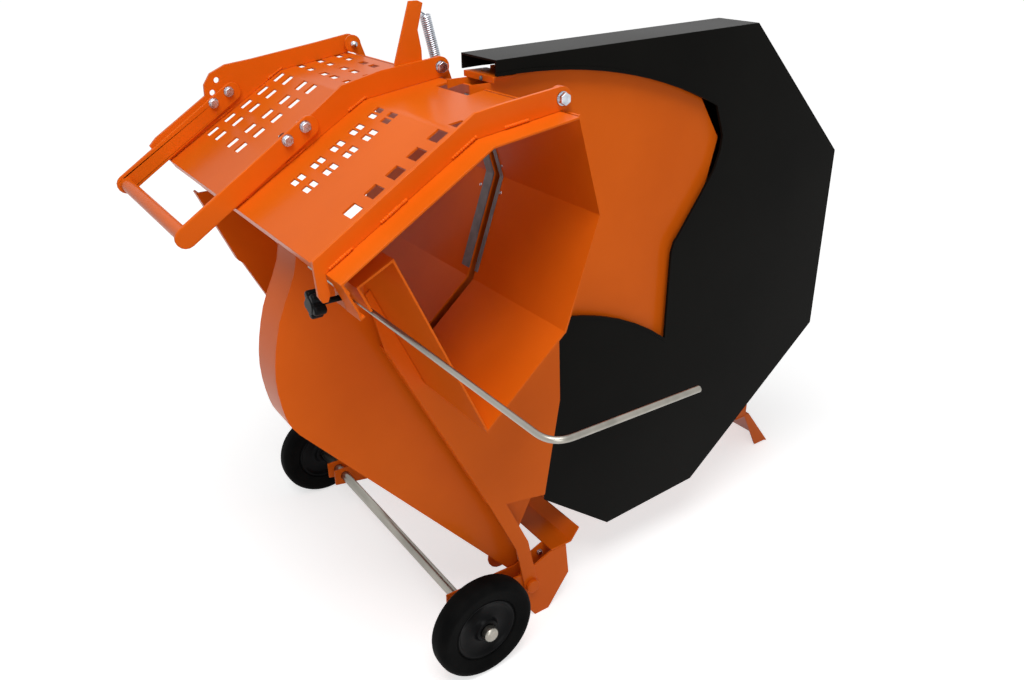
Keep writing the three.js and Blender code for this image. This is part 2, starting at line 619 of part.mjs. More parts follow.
// Wheels
function buildWheels(group) {
  const rows = [["near", wheel.nearRow], ["far", wheel.farRow]];
  for (const [name, row] of rows) {
    const end = row + wheel.width;
    const edge = wheel.width / 6;
    const inner = wheel.hubRadius + seatGap;
    piece(group, `${name}_tyre`, rubber, turned(axlePoint, [[inner, row + edge], [wheel.radius - 2 * edge, row],
      [wheel.radius - edge / 2, row + edge / 2], [wheel.radius, row + 2 * edge], [wheel.radius, end - 2 * edge],
      [wheel.radius - edge / 2, end - edge / 2], [wheel.radius - 2 * edge, end], [inner, end - edge]], wheelFacets));
    const dish = wheel.hubRadius * 0.8;
    piece(group, `${name}_hub`, plastic, turned(axlePoint, [[wheel.boreRadius, row + edge / 2],
      [wheel.boreRadius * 2, row + edge / 2], [wheel.boreRadius * 2.2, row + edge * 2], [dish, row + edge * 2],
      [wheel.hubRadius, row + edge], [wheel.hubRadius, end - edge], [dish, end - edge * 2],
      [wheel.boreRadius * 2.2, end - edge * 2], [wheel.boreRadius * 2, end - edge / 2],
      [wheel.boreRadius, end - edge / 2]], roundFacets));
  }
  const bossGap = wheel.width / 12 - seatGap;
  const [nearCap, farCap] = [wheel.nearRow + bossGap, wheel.farRow + wheel.width - bossGap];
  const rim = axle.capRadius * 0.8;
  piece(group, "wheel_axle", steel, turned(axlePoint, [[0, nearCap - axle.capLength], [rim, nearCap - axle.capLength],
    [axle.capRadius, nearCap - axle.capLength / 2], [axle.capRadius, nearCap], [axle.radius, nearCap],
    [axle.radius, farCap], [axle.capRadius, farCap], [axle.capRadius, farCap + axle.capLength / 2],
    [rim, farCap + axle.capLength], [0, farCap + axle.capLength]]));
}

// Rocker: pocket plates, troughs, arms and small parts
const tunnelMouthShares = [[0.064, 1.024], [0.05, 1.02], [0.05, 1.06], [-0.19, 1.06]];
const tunnelHole = [...troughLine.slice(2), ...tunnelMouthShares.map(toPlane)];

// The legs of the trough, lengthened a little at both ends to leave a gap in the plates.
function troughLegs(extra) {
  const legs = troughLine.slice(2);
  const beyond = (end, before) => end.clone().add(end.clone().sub(before).setLength(extra));
  return [beyond(legs[0], legs[1]), ...legs.slice(1, -1), beyond(legs[4], legs[3])];
}

const pocketRim = new THREE.SplineCurve(pocketRimShares.map(toPlane)).getPoints(pocketRimSteps);

function pocketOutline() {
  const low = [...pocketRim, ...pocketLedgeShares.map(toPlane)];
  const high = pocketHighShares.map(toPlane);
  const topRadius = high[0].distanceTo(pivot);
  const startAngle = THREE.MathUtils.radToDeg(Math.acos((low[low.length - 1].x - pivot.x) / topRadius));
  const endAngle = THREE.MathUtils.radToDeg(Math.acos((high[0].x - pivot.x) / topRadius));
  const top = arc(pivot, topRadius, startAngle, endAngle, 12);
  const hub = arc(pivot, pocketHubRadius, 0, -220, 10);
  return [...low, ...top, ...high.slice(1), ...hub];
}

// The curved slot that lets the rocker swing past the arbor.
function arborSlot() {
  const reach = arborPoint.distanceTo(pivot);
  const rest = THREE.MathUtils.radToDeg(Math.atan2(arborPoint.y - pivot.y, arborPoint.x - pivot.x));
  const [from, to] = [rest - arborSlotMargin / 2, rest + swingDegrees + arborSlotMargin / 2];
  const at = (angle) => arc(pivot, reach, angle, angle, 1)[0];
  return [...arc(pivot, reach + arborSlotHalfWidth, from, to, 10), ...arc(at(to), arborSlotHalfWidth, to, to + 180, 6),
    ...arc(pivot, reach - arborSlotHalfWidth, to, from, 10), ...arc(at(from), arborSlotHalfWidth, from + 180, from + 360, 6)];
}

function buildPocket(group) {
  const outline = pocketOutline();
  const pivotHole = circle(pivot, pivotBoltRadius + seatGap);
  const near = plate(outline, -pocketHalfWidth, pocketSheet, [pivotHole]);
  const far = plate(outline, pocketHalfWidth - pocketSheet, pocketSheet, [pivotHole, arborSlot()]);
  const tunnel = plate(tunnelHole, -2 * pocketHalfWidth, 4 * pocketHalfWidth);
  const seat = folded(troughLegs(seatGap), -troughSheet - seatGap, -2 * pocketHalfWidth, 4 * pocketHalfWidth);
  piece(group, "pocket_near_plate", orange, cut(near, tunnel, seat));
  piece(group, "pocket_far_plate", orange, cut(far, tunnel, seat));
  const gap = pocketSheet + seatGap;
  const hubTangent = arc(pivot, pocketHubRadius, 140, 140, 1)[0];
  const line = [...[...pocketRim].reverse(), hubTangent];
  piece(group, "pocket_rim_strip", orange,
    folded(line, pocketSheet, -pocketHalfWidth + gap, 2 * (pocketHalfWidth - gap)));
}

// The ear that carries the hood's hinge, standing on the trough's back wall.
function rockerEar(y) {
  const body = [...arc(hinge, earRadius, -85, 0, 2), ...earBodyShares.map(toPlane).reverse()];
  const round = plate(circle(hinge, earRadius, roundFacets), y, earSheet);
  const hole = rod3(hinge, hingeBolt.radius + seatGap, y - overrun, y + earSheet + overrun);
  return cut(join(plate(body, y, earSheet), round), hole);
}

const earRow = (rib) => rib + ribSheet + seatGap;
const rodPoint = toPlane(rodShares);

// The block in the trough's channel that holds the log stop rod.
function buildRodGuide(trough) {
  const [, corner, top] = troughLine;
  const under = (x) => corner.y + ((x - corner.x) / (top.x - corner.x)) * (top.y - corner.y) - troughSheet / 2;
  const [x0, x1] = [rodPoint.x - rodGuide.halfWidth, rodPoint.x + rodGuide.halfWidth];
  const floor = rodPoint.y - rodGuide.halfWidth;
  const outline = [[x0, floor], [x1, floor], [x1, under(x1)], [x0, under(x0)]].map(([x, z]) => new THREE.Vector2(x, z));
  const guide = plate(outline, rodGuide.near, rodGuide.far - rodGuide.near);
  const bore = rod3(rodPoint, rod.radius + seatGap, rodGuide.near - overrun, rodGuide.far + overrun, roundFacets);
  const screwHole = new THREE.CylinderGeometry(knob.screwRadius + seatGap, knob.screwRadius + seatGap,
    2 * knob.standOff, boltFacets);
  screwHole.rotateZ(Math.PI / 2);
  screwHole.translate(rodPoint.x - knob.standOff, (rodGuide.near + rodGuide.far) / 2, rodPoint.y);
  return cut(join(trough, guide), bore, solid(screwHole));
}

function buildTroughs(group) {
  const nearEnd = -pocketHalfWidth - seatGap;
  const legs = troughLine.slice(2);
  const inPocket = pocketHalfWidth + seatGap - bladeSlotHalfWidth + overrun;
  const near = join(folded(troughLine, -troughSheet, troughNearEdge, nearEnd - troughNearEdge),
    folded(legs, -troughSheet, -bladeSlotHalfWidth - inPocket, inPocket));
  piece(group, "near_trough", orange, buildRodGuide(join(near, rockerEar(earRow(ribRows.near)))));
  const farStart = pocketHalfWidth + seatGap;
  const far = join(folded(troughLine, -troughSheet, farStart, troughFarEdge - farStart),
    folded(legs, -troughSheet, bladeSlotHalfWidth, inPocket));
  const ears = [rockerEar(earRow(ribRows.mid)), rockerEar(ribRows.far - seatGap - earSheet - handleSheet * 2)];
  const pinCentre = toPlane(springPinShares[1]);
  const pin = rod3(pinCentre, spring.pinRadius, earRow(ribRows.mid) + earSheet / 2, spring.pinEnd);
  piece(group, "far_trough", orange, join(far, ...ears, pin));
}

// An arm that hangs the trough from the pivot, with its flanged edges.
function armPlate(y, upperShares, lowerShares, flangeLines) {
  const outline = [...upperShares.map(toPlane), ...arc(pivot, armLugRadius, 0, -180, 6),
    ...lowerShares.map(toPlane)];
  const hollow = plate(shifted(troughLine.slice(2), -troughSheet - seatGap), y - overrun, armSheet + 2 * overrun);
  const flanges = flangeLines.map((line) => folded(line.map(toPlane), -armSheet, y, armFlange));
  const hole = rod3(pivot, pivotBoltRadius + seatGap, y - overrun, y + armSheet + overrun);
  return join(cut(plate(outline, y, armSheet), hollow, hole), ...flanges);
}

function buildArms(group) {
  const nearRow = nearFootRow - runningGap - armSheet;
  piece(group, "near_arm", orange,
    armPlate(nearRow, armUpperShares, armLowerShares, [[armLowerShares[1], armUpperShares[0]]]));
  const farRow = troughFarEdge - farArmInset;
  const bushEnd = farFootRow - runningGap;
  const bush = tube(pivot, pivotBoltRadius + seatGap, armLugRadius - 1, farRow + armSheet / 2, bushEnd);
  const farArm = armPlate(farRow, farArmUpperShares, farArmLowerShares,
    [[farArmLowerShares[1], farArmUpperShares[0]], farArmUpperShares.slice(1, 3)]);
  piece(group, "far_arm", orange, join(farArm, bush));

  const pin = (headStart, headEnd, end) => turned(pivot, [[0, headStart], [pivotHead.radius, headStart],
    [pivotHead.radius, headEnd], [pivotBoltRadius, headEnd], [pivotBoltRadius, end], [0, end]]);
  const nearHead = nearRow - seatGap;
  piece(group, "near_pivot_pin", orange, pin(nearHead - pivotHead.length, nearHead, pocketHalfWidth + overrun));
  const farHead = farFootRow + farFootWidth + seatGap;
  piece(group, "far_pivot_pin", zinc, pin(farHead + pivotHead.length, farHead, farRow - overrun));
}

function buildMouth(group) {
  const [low, crease, high] = troughLine.slice(4);
  const line = [low.clone().lerp(crease, stripShares[0]), crease, crease.clone().lerp(high, stripShares[1])];
  const inside = shifted(line, seatGap);
  piece(group, "slot_strip_near", grey, folded(inside, stripSheet, -bladeSlotHalfWidth - nearStripWidth, nearStripWidth));
  piece(group, "slot_strip_far", grey, folded(inside, stripSheet, bladeSlotHalfWidth, farStripWidth));
  const halfWidth = guardHalfWidth - tab.edgeGap;
  const tabLine = [[tab.startShare, tab.topShare - tab.drop / side], [tab.startShare, tab.topShare],
    [tab.endShare, tab.topShare]].map(toPlane);
  piece(group, "mouth_tab", orange, folded(tabLine, -hoodSheet, -halfWidth, 2 * halfWidth));
}

// Hood
const [hingeEnd, hoodBend, hoodLow] = hoodLine;

// A slot cut through the sheet, placed by its distance from the bend towards the lip.
function hoodSlot(slot, distance, y, end = hoodLow) {
  const direction = end.clone().sub(hoodBend).normalize();
  const centre = hoodBend.clone().add(direction.clone().multiplyScalar(distance));
  return block(centre, direction, slot.length, 4 * hoodSheet, y - slot.width / 2, slot.width);
}

function slotGrid(slot, end) {
  return slot.columns.flatMap((y) => Array.from({ length: slot.rows }, (_, row) =>
    hoodSlot(slot, slot.start + row * slotPitch, y, end)));
}

function buildHoodSheet(group) {
  const sheet = folded(hoodLine, hoodSheet, hoodNearEdge, hoodFarEdge - hoodNearEdge);
  const tongue = folded(hoodTongueShares.map(toPlane), hoodSheet, hoodNearEdge, hoodTongueWidth);
  const lower = { ...smallSlot, start: smallSlot.start + smallSlotStep };
  const single = hoodSlot(wideSlot, slotPitch - wideSlot.start, wideSlot.columns[0], hingeEnd);
  const slots = [wideSlot, smallSlot, lower, farSlot].flatMap((slot) => slotGrid(slot, hoodLow));
  const topSlots = slotGrid(topSlot, hingeEnd);
  const notchHalf = guardHalfWidth - hoodNotchGap;
  const notch = box(hingeEnd.x - hoodNotchDepthShare * side, hingeEnd.x + overrun, -notchHalf, notchHalf,
    hingeEnd.y - 2 * earRadius, hingeEnd.y + earRadius);
  piece(group, "hood_sheet", orange, cut(join(sheet, tongue), ...slots, single, ...topSlots, notch));
}

// A rib stands on the sheet, from the hinge ear to its foot.
function ribPlate(y, shares, holes = []) {
  const seat = shifted(hoodLine.slice(0, 3), -seatGap);
  const outline = [...arc(hinge, earRadius, -95, 95, 10), ...shares.map(toPlane), seat[2], seat[1], seat[0]];
  const bolt = circle(hinge, hingeBolt.radius + seatGap);
  return plate(outline, y, ribSheet, [bolt, ...holes]);
}

function buildRibs(group) {
  piece(group, "near_rib", orange, ribPlate(ribRows.near, nearRibShares));
  piece(group, "mid_rib", orange, ribPlate(ribRows.mid, midRibShares));
  const holes = farRibHoleShares.map((spot) => circle(toPlane(spot), farRibHoleRadius));
  piece(group, "far_rib", orange, ribPlate(ribRows.far, farRibShares, holes));
  const postStart = ribRows.mid + ribSheet + seatGap;
  const pin = rod3(toPlane(springPinShares[0]), spring.pinRadius, postStart + postSheet / 2, spring.pinEnd);
  piece(group, "spring_post", orange, join(plate(postShares.map(toPlane), postStart, postSheet), pin));
}

function buildHandle(group) {
  const [top, end] = [handleTopShares, handleEndShares].map(toPlane);
  const angle = THREE.MathUtils.radToDeg(Math.atan2(end.y - top.y, end.x - top.x));
  const half = handleWidth / 2;
  const outline = [...arc(end, half, angle - 90, angle + 90, 8), ...arc(top, half, angle + 90, angle + 270, 8)];
  const rows = [ribRows.mid, ribRows.far].map((row) => row - seatGap - handleSheet);
  const arms = rows.map((row) => plate(outline, row, handleSheet));
  const bar = rod3(end, handleBarRadius, rows[0] + handleSheet / 2, rows[1] + 2 * handleSheet, roundFacets);
  piece(group, "hood_handle", orange, join(...arms, bar));
}

function buildHingeBolts(group) {
  const ends = {
    near: [ribRows.near, earRow(ribRows.near) + earSheet],
    mid: [ribRows.mid, earRow(ribRows.mid) + earSheet],
    far: [ribRows.far + ribSheet, ribRows.far - seatGap - earSheet - handleSheet * 2],
  };
  for (const [name, [start, end]] of Object.entries(ends)) {
    const way = Math.sign(end - start);
    const headEnd = start - way * seatGap;
    const head = headEnd - way * hingeBolt.headLength;
    const tail = end + way * overrun;
    piece(group, `hinge_bolt_${name}`, zinc, turned(hinge, [[0, head], [hingeBolt.headRadius * 0.8, head],
      [hingeBolt.headRadius, headEnd], [hingeBolt.radius, headEnd], [hingeBolt.radius, tail], [0, tail]], boltFacets));
  }
}

// Spring: one wire, from the eye on the post through the curls to the eye on the rocker.
function eyePoints(pinShares, towards, steps) {
  const pin = toPlane(pinShares);
  const radius = spring.pinRadius + spring.wire + seatGap;
  const facing = THREE.MathUtils.radToDeg(Math.atan2(towards.y - pin.y, towards.x - pin.x));
  return arc(pin, radius, facing + 300, facing, steps).map((p) => new THREE.Vector3(p.x, spring.row, p.y));
}

function springPath() {
  const [start, end] = springCoilShares.map(toPlane);
  const axis = new THREE.Vector3(end.x - start.x, 0, end.y - start.y);
  const along = axis.clone().normalize();
  const across = new THREE.Vector3(0, 1, 0);
  const sideways = new THREE.Vector3().crossVectors(along, across);
  const from = new THREE.Vector3(start.x, spring.row, start.y);
  const total = spring.coils * 8;
  const coil = Array.from({ length: total + 1 }, (_, i) => {
    const angle = (i / 8) * 2 * Math.PI;
    return from.clone().addScaledVector(axis, i / total)
      .addScaledVector(sideways, spring.radius * Math.cos(angle))
      .addScaledVector(across, spring.radius * Math.sin(angle));
  });
  const top = eyePoints(springPinShares[0], start, 7);
  const foot = eyePoints(springPinShares[1], end, 7).reverse();
  const lead = (point, sign) => point.clone().addScaledVector(along, sign * spring.lead);
  return [...top, lead(from, -1), ...coil, lead(from.clone().add(axis), 1), ...foot];
}

// A wire of five sides along points, closed at both ends.
function wire(points, radius, sides) {
  const rings = points.map((point, i) => {
    const next = points[Math.min(i + 1, points.length - 1)];
    const last = points[Math.max(i - 1, 0)];
    return { point, tangent: next.clone().sub(last).normalize() };
  });
  const steep = Math.abs(rings[0].tangent.y) > Math.SQRT1_2;
  let normal = new THREE.Vector3(steep ? 1 : 0, steep ? 0 : 1, 0);
  const vertices = [];
  for (const { point, tangent } of rings) {
    normal = normal.clone().addScaledVector(tangent, -normal.dot(tangent)).normalize();
    const binormal = new THREE.Vector3().crossVectors(tangent, normal);
    for (let j = 0; j < sides; j += 1) {
      const angle = (j / sides) * 2 * Math.PI;
      vertices.push(point.clone().addScaledVector(normal, radius * Math.cos(angle))
        .addScaledVector(binormal, radius * Math.sin(angle)));
    }
  }
  const faces = [];
  for (let i = 0; i < points.length - 1; i += 1) {
    for (let j = 0; j < sides; j += 1) {
      const [a, b] = [i * sides + j, i * sides + ((j + 1) % sides)];
      faces.push(a, b, b + sides, a, b + sides, a + sides);
    }
  }
  const lastRing = (points.length - 1) * sides;
  for (let j = 1; j < sides - 1; j += 1) {
    faces.push(0, j + 1, j, lastRing, lastRing + j, lastRing + j + 1);
  }
  const geometry = new THREE.BufferGeometry().setFromPoints(vertices);
  geometry.setIndex(faces);
  return solid(geometry);
}

// The least distance between stretches of a wire that aren't neighbours, less its thickness.
function leastGap(points, radius, apart) {
  let least = Infinity;
  for (let i = 0; i < points.length; i += 1) {
    for (let j = i + apart; j < points.length; j += 1) {
      least = Math.min(least, points[i].distanceTo(points[j]) - 2 * radius);
    }
  }
  return least;
}

function buildSpring(group) {
  const points = springPath();
  console.log(`spring's least gap to itself: ${leastGap(points, spring.wire, 7).toFixed(2)} mm`);
  piece(group, "hood_spring", zinc, wire(points, spring.wire, 5));
}

// Log stop rod and clamp knob
function buildStop(group) {
  const end = toPlane(rodEndShares);
  const start = new THREE.Vector3(rodPoint.x, rod.start, rodPoint.y);
  const corner = new THREE.Vector3(rodPoint.x, rod.corner, rodPoint.y);
  const tip = new THREE.Vector3(end.x, rod.corner, end.y);
  const before = corner.clone().setY(rod.corner + rod.bend);
  const after = corner.clone().lerp(tip, rod.bend / corner.distanceTo(tip));
  const bend = new THREE.QuadraticBezierCurve3(before, corner, after).getPoints(8);
  piece(group, "stop_rod", steel, wire([start, ...bend, tip], rod.radius, boltFacets));

  const lobes = Array.from({ length: knob.lobes * 6 }, (_, i) => {
    const angle = (i / (knob.lobes * 6)) * 2 * Math.PI;
    const radius = knob.radius * (0.86 + 0.14 * Math.cos(knob.lobes * angle));
    return new THREE.Vector2(radius * Math.cos(angle), radius * Math.sin(angle));
  });
  const tipX = rodPoint.x - rod.radius - seatGap;
  const row = (rodGuide.near + rodGuide.far) / 2;
  const grip = new THREE.ExtrudeGeometry(new THREE.Shape(lobes), { depth: knob.length, bevelEnabled: false });
  grip.rotateX(Math.PI / 2);
  grip.rotateZ(Math.PI / 2);
  grip.translate(tipX - knob.standOff - knob.length, row, rodPoint.y);
  const screw = new THREE.CylinderGeometry(knob.screwRadius, knob.screwRadius, knob.standOff + knob.length / 2,
    boltFacets);
  screw.rotateZ(Math.PI / 2);
  screw.translate(tipX - (knob.standOff + knob.length / 2) / 2, row, rodPoint.y);
  piece(group, "clamp_knob", plastic, join(solid(grip), solid(screw)));
}

const sections = [buildGuard, buildBlade, buildDrive, buildMotor, buildSwitch, buildBase, buildRearFoot, buildStand,
  buildWheels, buildPocket, buildTroughs, buildArms, buildMouth, buildHoodSheet, buildRibs, buildHandle,
  buildHingeBolts, buildSpring, buildStop];
for (const build of sections) build(section());

// The origin is on the ground under the middle of the machine.
const bounds = new THREE.Box3().setFromObject(saw);
const middle = bounds.getCenter(new THREE.Vector3());
saw.position.set(-middle.x, -middle.y, -bounds.min.z);

export default saw;
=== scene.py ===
import json
import math
import random

import bmesh
import bpy
from mathutils import Matrix, Vector


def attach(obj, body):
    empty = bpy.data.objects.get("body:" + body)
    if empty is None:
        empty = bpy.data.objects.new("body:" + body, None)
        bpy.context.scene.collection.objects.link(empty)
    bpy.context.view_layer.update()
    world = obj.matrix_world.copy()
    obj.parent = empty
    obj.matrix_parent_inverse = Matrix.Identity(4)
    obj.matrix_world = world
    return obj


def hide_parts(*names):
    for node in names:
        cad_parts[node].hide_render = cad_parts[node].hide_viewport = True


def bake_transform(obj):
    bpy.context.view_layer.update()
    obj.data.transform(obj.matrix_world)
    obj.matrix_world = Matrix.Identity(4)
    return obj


# Firewood circular saw: finishes, fasteners, welds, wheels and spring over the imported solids.
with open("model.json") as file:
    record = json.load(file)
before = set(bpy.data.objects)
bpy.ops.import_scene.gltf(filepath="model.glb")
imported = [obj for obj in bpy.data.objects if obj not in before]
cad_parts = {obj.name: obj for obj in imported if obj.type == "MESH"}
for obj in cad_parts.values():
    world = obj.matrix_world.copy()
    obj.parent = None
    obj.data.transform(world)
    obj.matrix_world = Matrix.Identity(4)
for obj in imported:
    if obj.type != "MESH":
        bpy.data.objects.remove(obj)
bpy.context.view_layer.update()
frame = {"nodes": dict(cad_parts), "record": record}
nodes = frame["nodes"]
slotOf = {part["node"]: part["material_slot"] for part in frame["record"]["subparts"]}
bodies = frame["record"]["behaviour"]["bodies"]
bodyOf = {node: body for body, members in bodies.items() for node in members}
print("loaded", len(nodes), "nodes")

mm = 0.001
# Places are given in mm from the ground under the wheel axle, in the blade's plane.
wheelLine = Vector((-0.33463, 0.00226, 0.0))
mergeDistance = 0.005 * mm
shadingWeight = 60
toOperator = Vector((0.0, -1.0, 0.0))
toDrive = Vector((0.0, 1.0, 0.0))
random.seed(7)


def spot(x, y, z):
    return wheelLine + Vector((x, y, z)) * mm


# Finishes. A value with arithmetic: an expression on values adds the nodes.
class Value:
    def __init__(self, surface, socket):
        self.surface = surface
        self.socket = socket

    def maths(self, operation, first, second):
        return self.surface.node("ShaderNodeMath", {"operation": operation}, {0: first, 1: second})

    def __add__(self, other):
        return self.maths("ADD", self, other)

    def __radd__(self, other):
        return self.maths("ADD", other, self)

    def __sub__(self, other):
        return self.maths("SUBTRACT", self, other)

    def __rsub__(self, other):
        return self.maths("SUBTRACT", other, self)

    def __mul__(self, other):
        return self.maths("MULTIPLY", self, other)

    def __rmul__(self, other):
        return self.maths("MULTIPLY", other, self)


class Wiring:
    def __init__(self, tree):
        self.tree = tree

    def node(self, kind, settings=None, sockets=None, output=0):
        made = self.tree.nodes.new(kind)
        for setting, value in (settings or {}).items():
            if setting == "stops":
                self.setStops(made.color_ramp, value)
            else:
                setattr(made, setting, value)
        for socket, value in (sockets or {}).items():
            if isinstance(value, Value):
                self.tree.links.new(value.socket, made.inputs[socket])
            else:
                made.inputs[socket].default_value = value
        return Value(self, made.outputs[output])

    def setStops(self, ramp, stops):
        for element, (position, level) in zip(ramp.elements, stops):
            element.position = position
            element.color = (level, level, level, 1.0)


class Surface(Wiring):
    def __init__(self, name, fixed):
        self.material = bpy.data.materials.new(name)
        self.material.use_nodes = True
        super().__init__(self.material.node_tree)
        self.shader = self.tree.nodes["Principled BSDF"]
        for socket, value in fixed.items():
            self.shader.inputs[socket].default_value = value

    def feed(self, socket, value):
        self.tree.links.new(value.socket, self.shader.inputs[socket])


# Each finish: two colours that a soft cloud mixes, the roughness and its spread, the grain and its depth.
finishes = {
    "orange_powder_coat": {
        "deep": (0.71, 0.116, 0.004), "light": (0.77, 0.132, 0.006), "cloud": 5.0,
        "roughness": 0.30, "spread": 0.06, "grain": 700.0, "depth": 0.06, "stretch": (1.0, 1.0, 1.0),
        "fixed": {"Specular IOR Level": 0.07, "Coat Roughness": 0.08, "Coat Weight": 0.03},
    },
    "black_powder_coat": {
        "deep": (0.0038, 0.0036, 0.0030), "light": (0.0058, 0.0055, 0.0046), "cloud": 4.0,
        "roughness": 0.34, "spread": 0.08, "grain": 900.0, "depth": 0.10, "stretch": (1.0, 1.0, 1.0),
        "fixed": {"Specular IOR Level": 0.03},
    },
    "zinc_steel": {
        "deep": (0.44, 0.47, 0.52), "light": (0.66, 0.69, 0.74), "cloud": 120.0,
        "roughness": 0.27, "spread": 0.12, "grain": 1500.0, "depth": 0.05, "stretch": (1.0, 1.0, 1.0),
        "fixed": {"Metallic": 1.0},
    },
    "bright_steel": {
        "deep": (0.26, 0.25, 0.22), "light": (0.36, 0.34, 0.30), "cloud": 14.0,
        "roughness": 0.30, "spread": 0.08, "grain": 900.0, "depth": 0.05, "stretch": (3.0, 0.6, 3.0),
        "fixed": {"Metallic": 1.0},
    },
    "blade_steel": {
        "deep": (0.38, 0.38, 0.37), "light": (0.56, 0.56, 0.55), "cloud": 14.0,
        "roughness": 0.33, "spread": 0.12, "grain": 1100.0, "depth": 0.06, "stretch": (1.0, 1.0, 5.0),
        "fixed": {"Metallic": 1.0},
    },
    "cast_grey": {
        "deep": (0.085, 0.095, 0.105), "light": (0.125, 0.138, 0.15), "cloud": 18.0,
        "roughness": 0.48, "spread": 0.16, "grain": 420.0, "depth": 0.35, "stretch": (1.0, 1.0, 1.0),
        "fixed": {"Specular IOR Level": 0.4},
    },
    "tyre_rubber": {
        "deep": (0.0036, 0.0037, 0.0038), "light": (0.0066, 0.0067, 0.0066), "cloud": 26.0,
        "roughness": 0.62, "spread": 0.18, "grain": 700.0, "depth": 0.22, "stretch": (1.0, 1.0, 1.0),
        "fixed": {"Specular IOR Level": 0.02},
    },
    "belt_rubber": {
        "deep": (0.010, 0.010, 0.010), "light": (0.020, 0.020, 0.019), "cloud": 40.0,
        "roughness": 0.70, "spread": 0.16, "grain": 900.0, "depth": 0.20, "stretch": (1.0, 1.0, 1.0),
        "fixed": {"Specular IOR Level": 0.3},
    },
    "black_plastic": {
        "deep": (0.0040, 0.0042, 0.0046), "light": (0.0066, 0.0068, 0.0072), "cloud": 30.0,
        "roughness": 0.30, "spread": 0.12, "grain": 1300.0, "depth": 0.10, "stretch": (1.0, 1.0, 1.0),
        "fixed": {"Specular IOR Level": 0.05},
    },
    "slot_steel": {
        "deep": (0.115, 0.118, 0.125), "light": (0.185, 0.19, 0.20), "cloud": 50.0,
        "roughness": 0.36, "spread": 0.14, "grain": 900.0, "depth": 0.08, "stretch": (1.0, 1.0, 1.0),
        "fixed": {"Specular IOR Level": 0.5},
    },
    "start_green": {
        "deep": (0.024, 0.22, 0.045), "light": (0.034, 0.29, 0.06), "cloud": 90.0,
        "roughness": 0.30, "spread": 0.08, "grain": 1200.0, "depth": 0.05, "stretch": (1.0, 1.0, 1.0),
        "fixed": {"Specular IOR Level": 0.5},
    },
    "stop_red": {
        "deep": (0.48, 0.014, 0.009), "light": (0.60, 0.022, 0.013), "cloud": 90.0,
        "roughness": 0.30, "spread": 0.08, "grain": 1200.0, "depth": 0.05, "stretch": (1.0, 1.0, 1.0),
        "fixed": {"Specular IOR Level": 0.5},
    },
}
texture = {"cloudDetail": 5.0, "grainDetail": 2.0, "from": 0.36, "to": 0.64, "relief": 0.4}


def makeFinish(name, look):
    surface = Surface(name, look["fixed"])
    place = surface.node("ShaderNodeTexCoord", output=3)
    drawn = surface.node("ShaderNodeMapping", {}, {"Vector": place, "Scale": look["stretch"]})
    cloud = surface.node("ShaderNodeTexNoise", {},
                         {"Vector": drawn, "Scale": look["cloud"], "Detail": texture["cloudDetail"]})
    grain = surface.node("ShaderNodeTexNoise", {},
                         {"Vector": drawn, "Scale": look["grain"], "Detail": texture["grainDetail"]})
    stops = [(texture["from"], 0.0), (texture["to"], 1.0)]
    blend = surface.node("ShaderNodeValToRGB", {"stops": stops}, {"Fac": cloud})
    colour = surface.node("ShaderNodeMix", {"data_type": "RGBA"},
                          {0: blend, 6: (*look["deep"], 1.0), 7: (*look["light"], 1.0)}, output=2)
    surface.feed("Base Color", colour)
    spread = look["spread"]
    surface.feed("Roughness", (cloud - 0.5) * spread + (grain - 0.5) * spread + look["roughness"])
    relief = surface.node("ShaderNodeBump", {},
                          {"Strength": look["depth"], "Distance": texture["relief"] * mm, "Height": grain})
    surface.feed("Normal", relief)
    return surface.material


finishOf = {name: makeFinish(name, look) for name, look in finishes.items()}
for nodeName, node in nodes.items():
    node.data.materials.clear()
    node.data.materials.append(finishOf[slotOf[nodeName]])
print("finishes", len(finishOf))


# Pieces from a bmesh, and how they join the machine.
def makePiece(name, shape, slot, body, replaced=(), smooth=True):
    bmesh.ops.recalc_face_normals(shape, faces=shape.faces)
    mesh = bpy.data.meshes.new(name)
    shape.to_mesh(mesh)
    shape.free()
    piece = bpy.data.objects.new(name, mesh)
    bpy.context.scene.collection.objects.link(piece)
    mesh.materials.append(finishOf[slot])
    if smooth:
        mesh.shade_smooth()
        evenShading(piece)
    if body:
        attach(piece, body)
    if replaced:
        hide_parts(*replaced)
    return piece


def evenShading(piece):
    shading = piece.modifiers.new("even shading", "WEIGHTED_NORMAL")
    shading.keep_sharp = True
    shading.weight = shadingWeight


# The sheets, castings and pins again, with their cut edges rounded by a width in mm.
roundedEdges = {
    "sharp": 28, "steps": 2, "merge": 0.01,
    "widths": {
        "guard_shell": 0.9, "guard_cover": 0.7, "hood_sheet": 0.7, "near_rib": 1.0, "mid_rib": 1.0,
        "far_rib": 1.0, "spring_post": 0.8, "hood_handle": 1.6, "near_trough": 0.7, "far_trough": 0.7,
        "near_arm": 0.8, "far_arm": 0.8, "pocket_near_plate": 0.7, "pocket_far_plate": 0.7,
        "pocket_rim_strip": 0.6, "mouth_tab": 0.8, "near_foot_bracket": 0.9, "far_foot_bracket": 0.9,
        "front_cross_beam": 0.9, "near_side_rail": 1.2, "far_side_rail": 1.2, "rear_foot": 0.9,
        "motor_stand": 1.2, "drive_plate": 1.2, "casing_plate": 0.5, "belt_casing": 0.9,
        "slot_strip_near": 0.4, "slot_strip_far": 0.4, "bearing_housing": 1.2, "motor_body": 0.9,
        "motor_fan_cover": 0.7, "switch_box": 2.4, "power_inlet": 1.2, "start_button": 1.2,
        "stop_button": 1.2, "near_pivot_pin": 1.2, "far_pivot_pin": 1.2, "arbor_nut": 0.8,
        "stop_rod": 0.8,
    },
}


